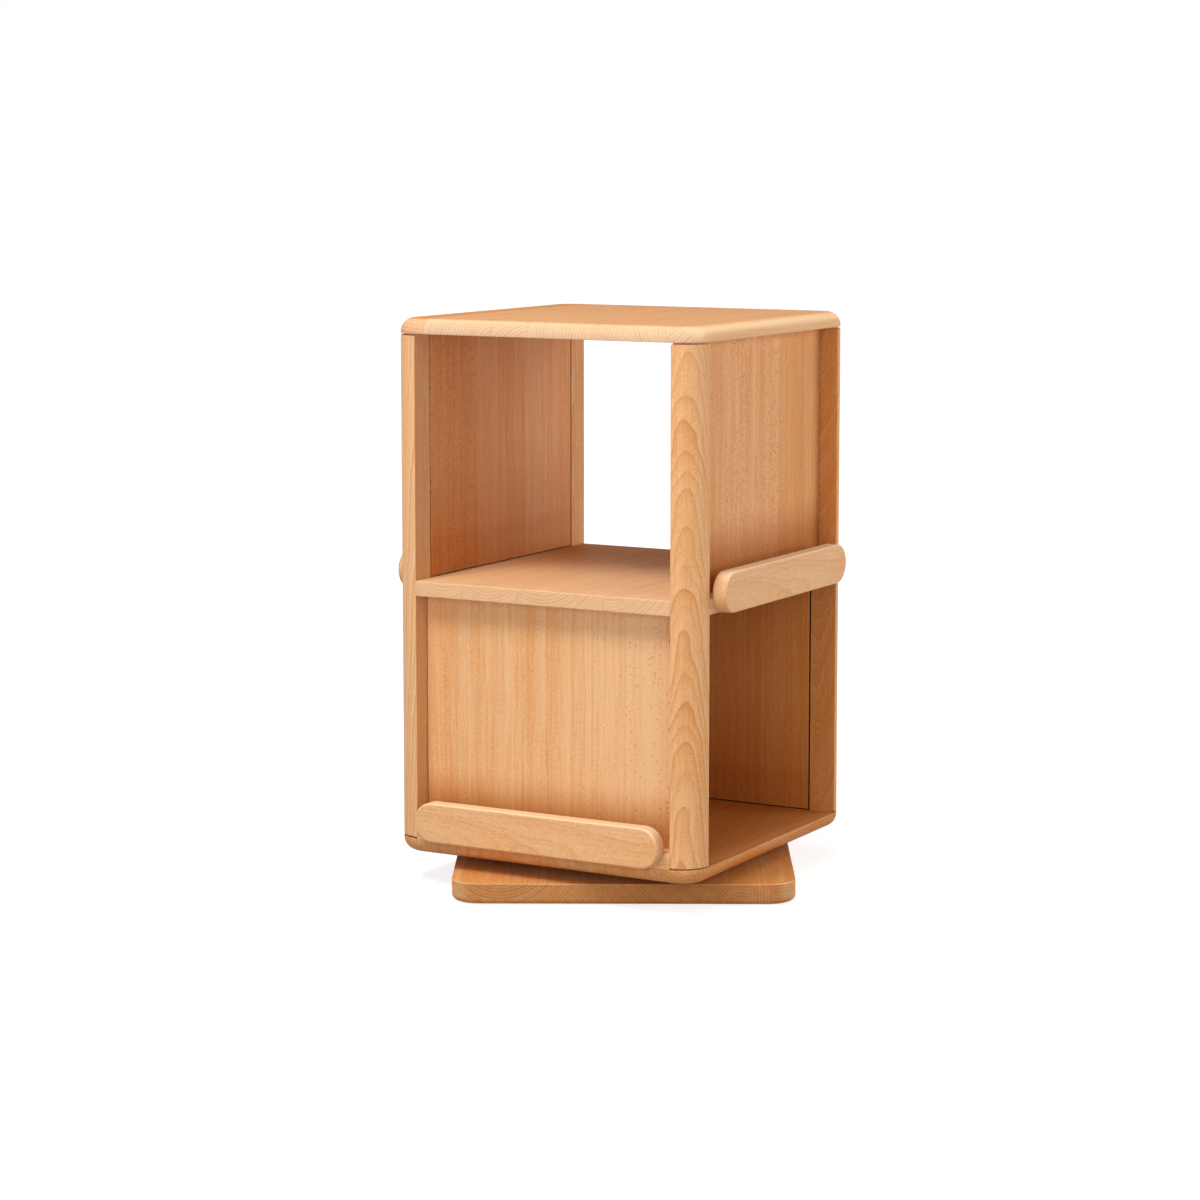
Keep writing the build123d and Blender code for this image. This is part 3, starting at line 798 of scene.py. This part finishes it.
# Middle shelf: edge-glued beech like the boards, notched round the posts, its edges flush with the faces.
# Two dowels in each corner pin it to the post, one from either side.

shelf_staves = [(0.096, 0.0, -0.13, -0.05, 0.0), (0.074, 0.05, -0.07, -0.04, 0.0),
                (0.112, -0.05, 0.0, -0.06, 0.0), (0.118, 0.0, 0.09, -0.05, 0.0)]
# Painted shade browns its faces towards the back; the cream on its upper edges is painted highlight.
finish_with(beech_finish("shelf beech", middle_of("middle_shelf"), (-90, 0, 0), shelf_staves, figure=0.3,
                         end_figure=0.35, ring=0.004, end_pale=0.2, shade=("Z", 0.0, 0.16, 0.0, 0.85),
                         rim=0.8, sheen=0.01), "middle_shelf")
pegs("shelf_dowels", dowel_length)


# Upper panels: the same floating panels, a quarter turn round, on the right and left of the upper tier.
# On each of them, two staves are crowded with ray flecks.

right_staves = [(0.0512, 0.75, -0.3, 0.1, 0.3), (0.034, 0.75, -0.3, 0.1, 0.3),
                (0.057, 0.6, -0.05, 0.1, 0.75), (0.039, 0.65, 0.3, 0.12, 0.3),
                (0.041, 0.62, 0.03, 0.08, 0.9), (0.069, 0.85, 0.3, 0.1, 0.05),
                (0.0448, 0.6, 0.35, 0.1, 0.03)]
left_staves = [(0.062, 0.65, 0.3, 0.1, 0.04), (0.055, 0.5, -0.3, 0.1, 0.04),
               (0.060, 0.7, 0.25, 0.12, 0.06), (0.052, 0.6, -0.3, 0.12, 0.1),
               (0.062, 0.85, 0.05, 0.1, 0.7), (0.045, 0.8, 0.3, 0.1, 0.6)]
panel_finish("upper_right_panel", 90, right_staves, inside=0.15, streaks=0.6)
panel_finish("upper_left_panel", 270, left_staves, inside=0.2, streaks=0.6)


# Top board: edge-glued beech, 18 mm thick, rounded over along its upper edge.
# Blind dowels pin it to the heads of the posts. Its upper face carries painted shade, browner than the
# edges.

top_staves = [(0.045, 0.65, -0.19, 0.20, 0.0), (0.091, 0.1, -0.062, 0.016, 0.0),
              (0.047, 0.08, -0.001, 0.059, 0.0), (0.116, 0.1, 0.40, 0.02, 0.0),
              (0.066, 0.08, -0.03, 0.10, 0.0), (0.035, 0.03, 0.12, -0.05, 0.0)]
# The cream on its rounded edge is painted highlight.
finish_with(beech_finish("top board beech", middle_of("top_panel"), (-90, 0, 0), top_staves, figure=0.15,
                         end_figure=0.42, ring=0.0042, end_pale=0.7, shade=("Y", -0.009, -0.0075, 0.6, 0.0),
                         rim=0.6, sheen=0.0, coat=0.1), "top_panel")
pegs("post_head_dowels", dowel_length)


# Display rails: four beech bars with round ends and soft edges, which hold books or pictures on the ledges.
# Each hangs on two dowels, the upper ones on the edge of the shelf and the lower ones on the ledge.

# Their cream upper edges and top faces are painted highlight, on the edges partly worn oil too.
for rail_name, turn in (("lower_front_rail", 0), ("lower_back_rail", 180), ("upper_right_rail", 90),
                        ("upper_left_rail", 270)):
    finish_with(beech_finish(rail_name + " beech", middle_of(rail_name), (0, 90, turn), ring=0.0018,
                             lean=0.035, waver=0.006, wander=(16, 16, 9), figure=0.3, tone=0.3,
                             pith=(0.02, 0.09), streaks=0.25, rim=0.9, upper=0.7, sheen=0.08, coat=0.06),
                rail_name)
pegs("rail_dowels", dowel_length)


# Studio: a wide sheet of pale paper for a floor, soft square lamps all round and a white background.
# Fill lamps are not mirrored in the finish. The camera stands where the photograph was taken from.

def in_sight(tree):
    """1 for rays from the camera, a glossy reflection or a clear surface, else 0."""
    path = put(tree, "LightPath").outputs
    shown = calc(tree, "MAXIMUM", path["Is Camera Ray"], path["Is Transmission Ray"])
    return calc(tree, "MAXIMUM", shown, path["Is Glossy Ray"])


floor_mesh = bpy.data.meshes.new("studio floor")
reach = 30.0
floor_mesh.from_pydata([(-reach, -reach, 0), (reach, -reach, 0), (reach, reach, 0), (-reach, reach, 0)], [],
                       [(0, 1, 2, 3)])
floor = bpy.data.objects.new("studio_floor", floor_mesh)
bpy.context.scene.collection.objects.link(floor)
paper, tree, shader = plain_finish("white paper")
shader.inputs["Base Color"].default_value = (0.4, 0.4, 0.4, 1)
shader.inputs["Roughness"].default_value = 0.9
floor_mesh.materials.append(paper)
spot = put(tree, "TexCoord").outputs["Object"]
away = put(tree, "VectorMath", {0: spot}, operation="LENGTH").outputs["Value"]
near, far, dim = 0.3, 1.1, 0.78
glow = ramp(tree, away, near, far, dim, 1.0)
shader.inputs["Emission Color"].default_value = (1, 1, 1, 1)
tree.links.new(calc(tree, "MULTIPLY", in_sight(tree), glow), shader.inputs["Emission Strength"])

world = bpy.data.worlds.new("studio")
bpy.context.scene.world = world
world.use_nodes = True
tree = world.node_tree
backdrop = tree.nodes["Background"]
backdrop.inputs["Color"].default_value = (1, 1, 1, 1)
room_light, seen_light = 0.05, 0.95
strength = calc(tree, "MULTIPLY_ADD", in_sight(tree), seen_light, room_light)
tree.links.new(strength, backdrop.inputs["Strength"])

aim, lamp_distance = (0.0, 0.0, 0.33), 2.8
for lamp_name, azimuth, elevation, size, power, mirrored in (
        ("key", -12, 55, 0.6, 33, True),
        ("key_glow", -12, 55, 1.5, 27, True),
        ("overhead", 0, 89, 1.5, 19, True),
        ("front_fill", 8, 10, 1.5, 20, False),
        ("front_right", 27, 4, 1.5, 8, False),
        ("right_high", 30, 60, 1.5, 7, True),
        ("right_front", 60, 18, 1.5, 11, True),
        ("right_rear", 120, 12, 1.5, 31, True),
        ("left", -85, 12, 1.5, 8, False),
        ("rear", 162, 4, 1.0, 16, False)):
    light = bpy.data.lights.new(lamp_name, "AREA")
    light.size = size
    light.energy = power
    lamp = bpy.data.objects.new(lamp_name, light)
    bpy.context.scene.collection.objects.link(lamp)
    lamp.visible_glossy = mirrored
    around, up = math.radians(azimuth), math.radians(elevation)
    level = lamp_distance * math.cos(up)
    lamp.location = (aim[0] + level * math.sin(around), aim[1] - level * math.cos(around),
                     aim[2] + lamp_distance * math.sin(up))
    lamp.rotation_euler = (math.pi / 2 - up, 0, around)

lens = bpy.data.cameras.new("camera")
lens.sensor_width = 36.0
lens.lens = 95.001
lens.shift_y = -0.075
camera = bpy.data.objects.new("camera", lens)
bpy.context.scene.collection.objects.link(camera)
camera.location = (1.7916, -3.2827, 0.8658)
tilt_down, turn_left = 6.614, 29.066
camera.rotation_euler = (math.radians(90 - tilt_down), 0, math.radians(turn_left))
bpy.context.scene.camera = camera
bpy.context.scene.view_settings.view_transform = "Standard"
